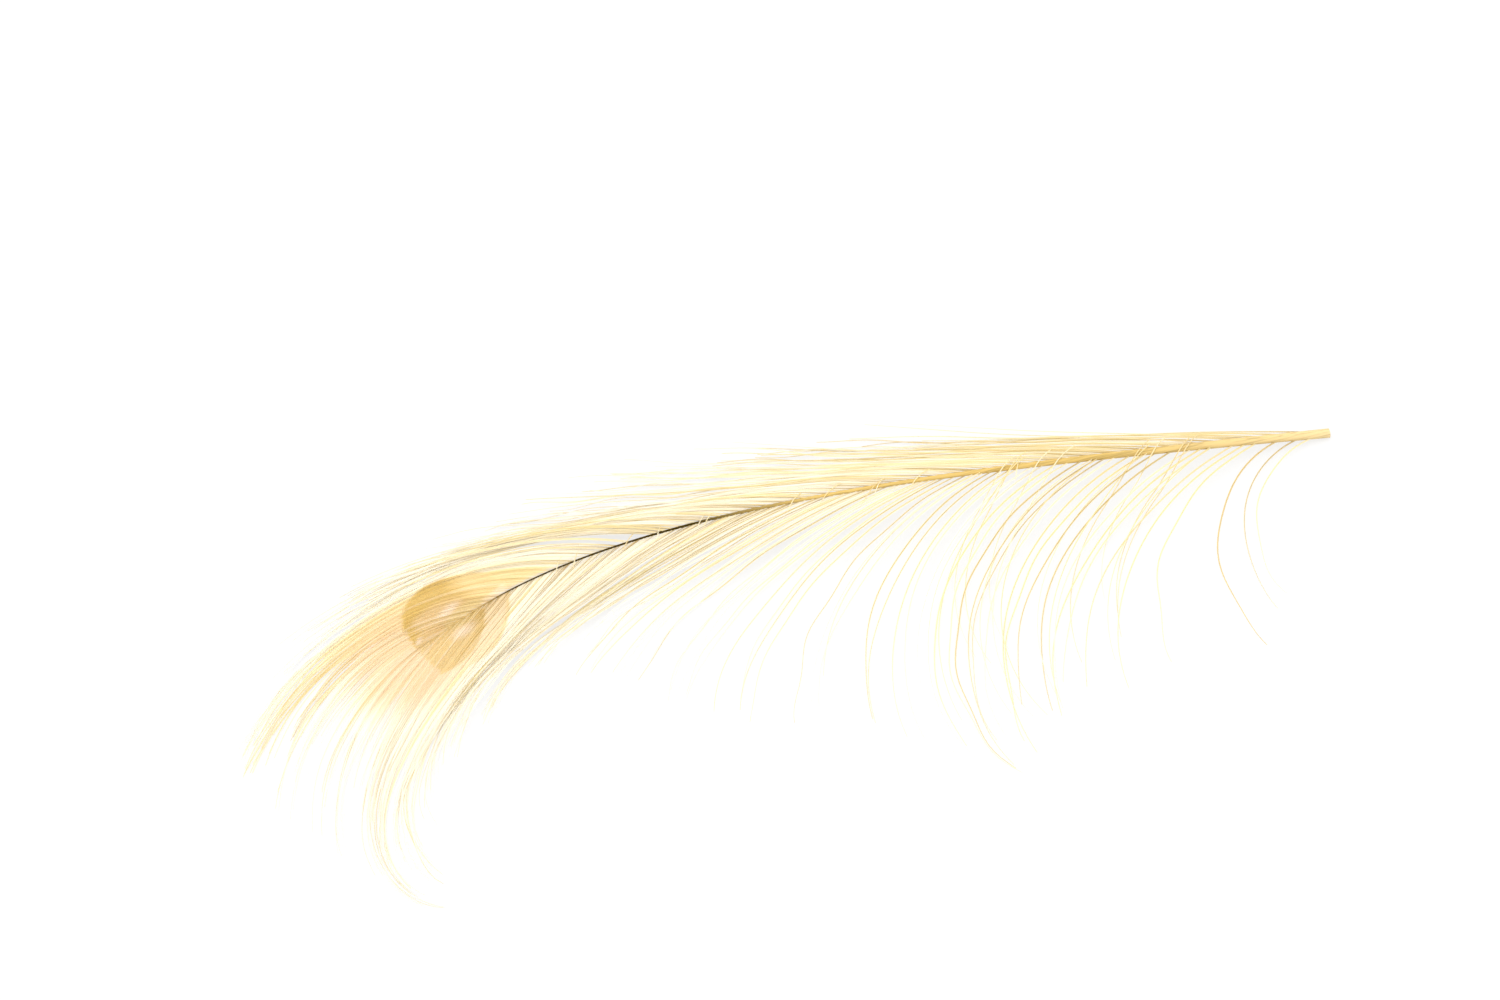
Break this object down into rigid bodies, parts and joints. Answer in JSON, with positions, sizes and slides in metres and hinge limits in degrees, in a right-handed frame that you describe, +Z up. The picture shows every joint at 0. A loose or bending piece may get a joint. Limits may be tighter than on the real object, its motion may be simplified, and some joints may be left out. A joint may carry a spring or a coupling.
{
  "type": "peacock feather",
  "caption": "Bleached cream peacock tail feather, cut short, with a tapered shaft, long loose barbs and a tan eye, lying flat for craft and display use.",
  "frame": {"origin": "middle of the feather's underside, on the surface that it lies on", "axes": "+X along the line from the eye's tip of the shaft to its cut end, +Y to the right of the feather as seen from the cut end, +Z up, out of its show face"},
  "size_m": [0.3064, 0.1154, 0.0103],
  "materials": {
    "shaft": "satin horn, honey at the cut end and dark towards the eye",
    "barbs": "soft matt cream barbs, tan in the eye"
  },
  "bodies": {
    "root": {"shaft": "shaft", "left_vane": "barbs", "right_vane": "barbs"}
  },
  "joints": []
}
